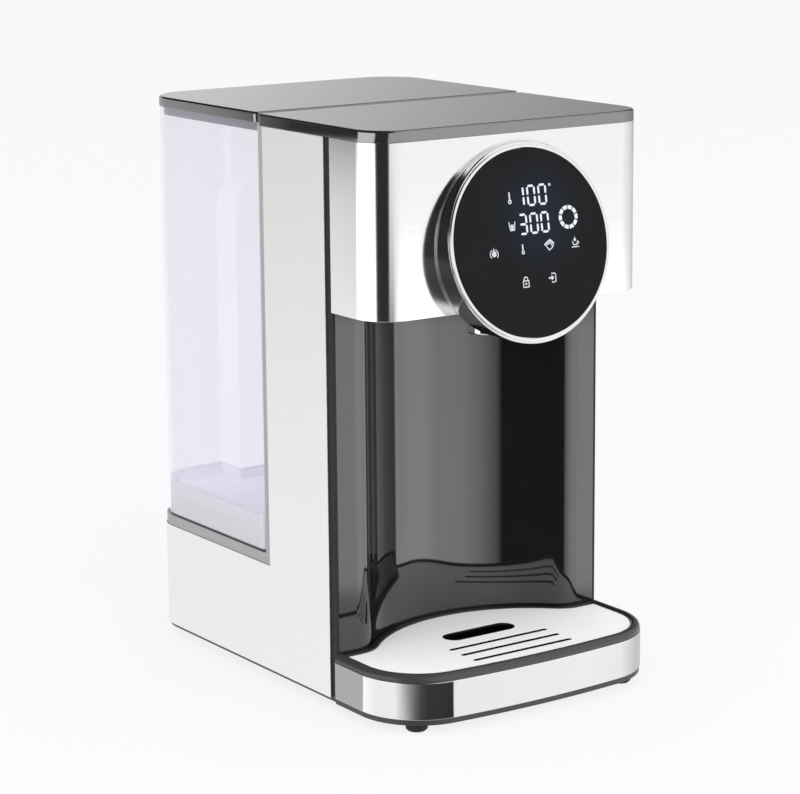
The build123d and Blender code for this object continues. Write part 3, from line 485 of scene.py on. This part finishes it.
def thermometer(mesh, x, y, height):
    """A thermometer about its middle, with a ring for a bulb."""
    bulb = height * 0.19
    foot = y - height / 2 + bulb
    arc(mesh, (x, foot), bulb * 0.42, bulb)
    line(mesh, (x, foot + bulb * 1.05), (x, y + height / 2 - 0.4), width=0.95)


def beaker(mesh, x, y, width, height):
    """A half-filled beaker about its middle."""
    top, foot = y + height / 2, y - height / 2
    rim, sole = width / 2, width * 0.33
    line(mesh, (x - rim, top), (x - sole, foot), (x + sole, foot), (x + rim, top))
    for share in (0.25, 0.5, 0.75):
        across = x - sole + 2 * sole * share
        line(mesh, (across, foot + 0.5), (across, y + height * 0.16))


def ringed_drop(mesh, x, y):
    drop(mesh, (x, y - 0.8), 1.5, 3.6)
    arc(mesh, (x, y - 0.9), 2.3, 2.8, start=25, sweep=110)
    arc(mesh, (x, y - 0.9), 2.3, 2.8, start=225, sweep=110)


def tilted_jug(mesh, x, y):
    line(mesh, (x - 3.0, y + 0.7), (x + 0.5, y + 2.8), (x + 2.6, y + 1.0), width=1.1)
    line(mesh, (x - 2.6, y + 0.4), (x - 0.6, y - 2.5), (x + 1.9, y - 1.1), (x + 2.6, y + 1.0))
    line(mesh, (x - 1.4, y + 0.5), (x + 0.7, y + 1.5), (x + 1.7, y - 0.6))


def hot_cup(mesh, x, y):
    drop(mesh, (x, y + 1.2), 0.8, 1.9)
    line(mesh, (x - 1.7, y + 0.3), (x - 1.0, y - 1.5), (x + 1.0, y - 1.5), (x + 1.7, y + 0.3))
    arc(mesh, (x + 1.75, y - 0.5), 0.45, 0.9, start=0, sweep=180)
    line(mesh, (x - 2.2, y - 2.6), (x + 2.2, y - 2.6))


def padlock(mesh, x, y):
    left, right, top, foot = x - 1.8, x + 1.8, y + 0.4, y - 2.9
    line(mesh, (left, top), (right, top), (right, foot), (left, foot), (left, top))
    arc(mesh, (x, y + 1.2), 0.9, 1.5, start=270, sweep=180)
    line(mesh, (x - 1.2, y + 1.2), (x - 1.2, y + 0.5))
    line(mesh, (x + 1.2, y + 1.2), (x + 1.2, y + 0.5))
    arc(mesh, (x, y - 1.2), 0.0, 0.6)


def start_key(mesh, x, y):
    line(mesh, (x - 0.6, y + 2.3), (x + 1.4, y + 2.3), (x + 2.0, y + 1.7), (x + 2.0, y - 1.7),
         (x + 1.4, y - 2.3), (x - 0.6, y - 2.3))
    line(mesh, (x - 2.2, y), (x + 0.4, y), width=1.0)
    line(mesh, (x - 0.6, y + 1.0), (x + 0.6, y), (x - 0.6, y - 1.0))


def display_marks():
    """Numerals, dial and icons on the control glass."""
    figures = bmesh.new()
    for figure, x, y in UPPER_FIGURES + LOWER_FIGURES:
        numeral(figures, figure, x, y)
    arc(figures, DEGREE_AT, *DEGREE_RADII)
    dial = bmesh.new()
    step = 360.0 / DIAL_PARTS
    for part in range(DIAL_PARTS):
        arc(dial, DIAL_AT, *DIAL_RADII, start=part * step + DIAL_GAP / 2, sweep=step - DIAL_GAP)
    icons = bmesh.new()
    thermometer(icons, -11.6, 24.5, 6.3)
    beaker(icons, -11.7, 9.7, 3.9, 4.3)
    keys = bmesh.new()
    ringed_drop(keys, -25.1, -2.9)
    thermometer(keys, -6.2, -3.0, 5.3)
    tilted_jug(keys, 11.6, -2.5)
    hot_cup(keys, 28.7, -2.3)
    padlock(keys, -6.3, -20.0)
    start_key(keys, 11.5, -19.7)
    lit = lit_mark("lit_white", (0.90, 0.95, 1.0))
    soft = lit_mark("lit_soft", (0.74, 0.77, 0.84))
    low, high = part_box("control_glass")
    glass_middle = Matrix.Translation((Vector(low) + Vector(high)) / 2)
    tilt = Matrix.Rotation(math.radians(90 - GLASS_TILT), 4, "X")
    place = glass_middle @ tilt @ Matrix.Translation((0, 0, GLASS_HALF * MM))
    for name, mesh, finish in (("display_figures", figures, lit), ("display_dial", dial, lit),
                               ("display_icons", icons, soft), ("key_icons", keys, soft)):
        bmesh.ops.remove_doubles(mesh, verts=mesh.verts, dist=MARK_WELD)
        raised = bmesh.ops.extrude_face_region(mesh, geom=mesh.faces[:])["geom"]
        bmesh.ops.translate(mesh, verts=[v for v in raised if isinstance(v, bmesh.types.BMVert)],
                            vec=(0, 0, MARK_DEPTH))
        bmesh.ops.recalc_face_normals(mesh, faces=mesh.faces)
        bmesh.ops.scale(mesh, verts=mesh.verts, vec=(MM, MM, MM))
        bmesh.ops.transform(mesh, verts=mesh.verts, matrix=place)
        add_piece(name, mesh, finish, "housing")


# Studio
def studio_world():
    world = bpy.data.worlds.new("studio")
    bpy.context.scene.world = world
    studio = Finish(world)
    ray = studio.node("ShaderNodeLightPath").output.node.outputs
    direction = studio.node("ShaderNodeTexCoord", output="Generated")
    axes = studio.node("ShaderNodeSeparateXYZ", None, {0: direction}).output.node.outputs
    across = Socket(studio, axes[0])
    heading = across.math("ARCTAN2", across, 0 - Socket(studio, axes[1]))
    turn = heading / (2 * math.pi) + 0.5

    def mirrored(stops):
        spots = [((angle + 180) / 360, tone) for angle, tone in stops]
        return studio.node("ShaderNodeValToRGB", {"stops": spots}, {0: turn})

    height = Socket(studio, axes[2])
    panorama = mirrored(SOLE_ROW)
    for edge, blur, stops in ROW_EDGES:
        above = studio.rise(height, math.sin(math.radians(edge - blur)), math.sin(math.radians(edge + blur)))
        panorama = studio.blend(above, panorama, mirrored(stops))
    seen = Socket(studio, ray["Is Camera Ray"]) + Socket(studio, ray["Is Transmission Ray"])
    tone = studio.blend(seen, panorama, BACKDROP)
    told = seen + Socket(studio, ray["Is Glossy Ray"])
    shown = studio.blend(studio.node("ShaderNodeClamp", None, {0: told}), grey(FILL_STRENGTH), tone)
    background = studio.tree.nodes["Background"]
    studio.feed(background.inputs["Color"], shown)
    background.inputs["Strength"].default_value = 1.0


def studio_floor():
    mesh = bmesh.new()
    bmesh.ops.create_circle(mesh, cap_ends=True, segments=FLOOR_SEGMENTS, radius=FLOOR_RADIUS)
    data = bpy.data.meshes.new("floor")
    mesh.to_mesh(data)
    mesh.free()
    floor = bpy.data.objects.new("floor", data)
    bpy.context.scene.collection.objects.link(floor)
    floor.visible_glossy = False
    finish = new_finish("pale_floor")
    ray = finish.node("ShaderNodeLightPath").output.node.outputs
    matt = finish.node("ShaderNodeBsdfDiffuse", None, {"Color": grey(FLOOR_TONE)})
    glow = finish.node("ShaderNodeEmission", None, {"Color": BACKDROP, "Strength": 1.0})
    seen = Socket(finish, ray["Is Camera Ray"]) + Socket(finish, ray["Is Transmission Ray"])
    mixed = finish.node("ShaderNodeMixShader", None, {0: seen * FLOOR_GLOW, 1: matt, 2: glow})
    output = finish.tree.nodes["Material Output"]
    finish.feed(output.inputs["Surface"], mixed)
    data.materials.append(finish.owner)


def soft_lamp(name, at, aim, watts):
    light = bpy.data.lights.new(name, "AREA")
    light.size = LAMP_SIZE
    light.energy = watts
    lamp = bpy.data.objects.new(name, light)
    bpy.context.scene.collection.objects.link(lamp)
    lamp.location = at
    lamp.rotation_euler = (Vector(aim) - Vector(at)).to_track_quat("-Z", "Y").to_euler()
    lamp.visible_glossy = False
    lamp.visible_camera = False


def camera():
    data = bpy.data.cameras.new("photo_camera")
    data.lens = LENS
    data.sensor_width = SENSOR
    data.clip_start, data.clip_end = CLIP
    eye = bpy.data.objects.new("photo_camera", data)
    bpy.context.scene.collection.objects.link(eye)
    turn = Matrix.Rotation(math.radians(-HEADING), 4, "Z")
    tilt = Matrix.Rotation(math.radians(90 - PITCH), 4, "X")
    lean = Matrix.Rotation(math.radians(ROLL), 4, "Z")
    eye.matrix_world = Matrix.Translation(EYE) @ turn @ tilt @ lean
    bpy.context.scene.camera = eye


bpy.context.scene.view_settings.view_transform = "Standard"
camera()
studio_world()
studio_floor()
for name, (at, aim, watts) in SOFT_LAMPS.items():
    soft_lamp(name, at, aim, watts)
finish_of = finishes()
for node, finish in finish_of.items():
    frame["nodes"][node].data.materials.clear()
    frame["nodes"][node].data.materials.append(finish)
    if node in EDGES:
        # the drip plate's slot walls take the dark tub finish as painted shade inside the slots
        round_edges(node, EDGES[node], finish, finish_of["drip_tub"] if node == "drip_plate" else None)
display_marks()
